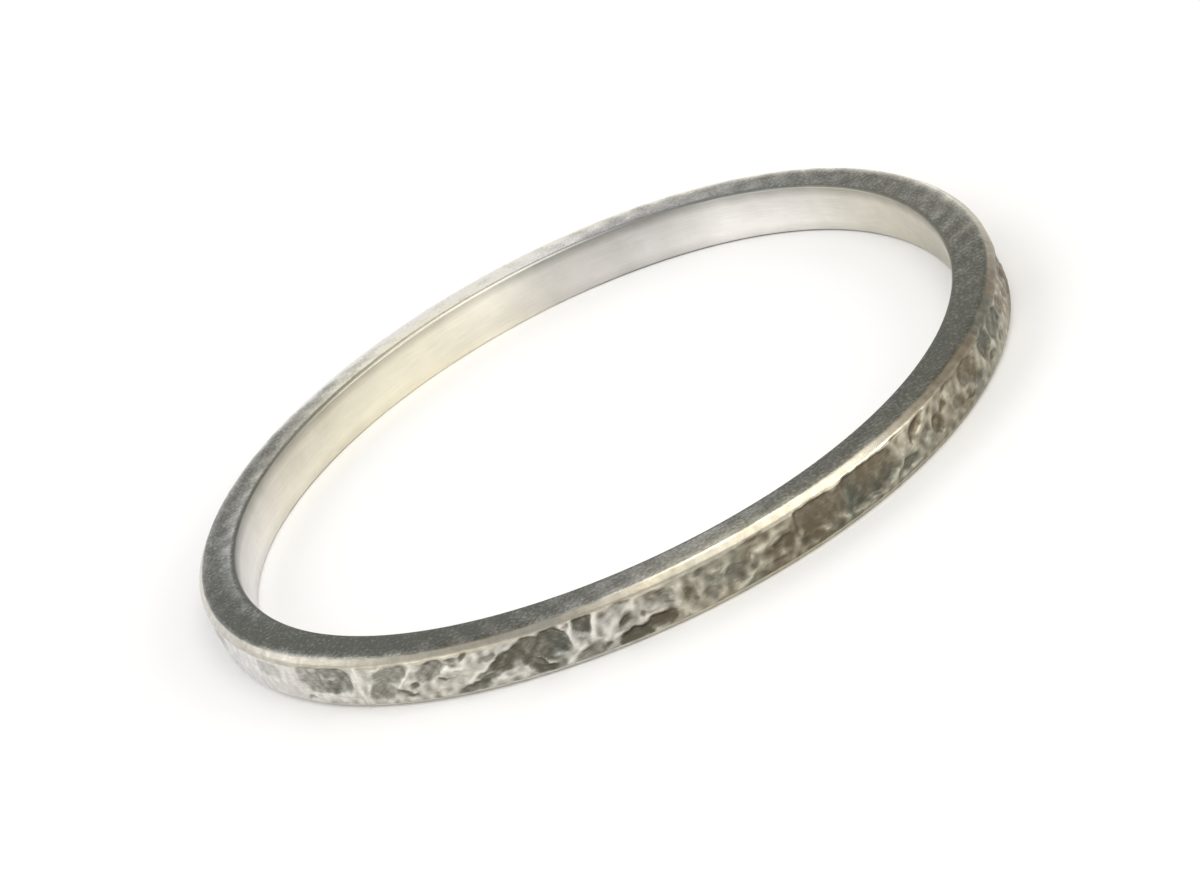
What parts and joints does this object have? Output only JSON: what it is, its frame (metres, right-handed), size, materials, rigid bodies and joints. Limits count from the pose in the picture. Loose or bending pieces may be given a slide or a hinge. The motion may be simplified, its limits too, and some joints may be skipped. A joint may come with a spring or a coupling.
{
  "type": "stackable ring",
  "caption": "Narrow closed ring band for stacking on a finger: flat dark side faces, bright bevelled edges, smooth bore and irregular hammered outer face",
  "frame": {"origin": "middle of the bore, level with the lower side face that the ring rests on", "axes": "+Z along the finger, from the resting side face to the upper one; -Y towards the side seen from the front; +X to the right of it"},
  "size_m": [0.0187, 0.0187, 0.0012],
  "materials": {
    "silver": "oxidised silver: dark satin side faces and dents, polished bevels and ridges, bright satin bore"
  },
  "bodies": {
    "root": {"hammered_band": "silver"}
  },
  "joints": []
}
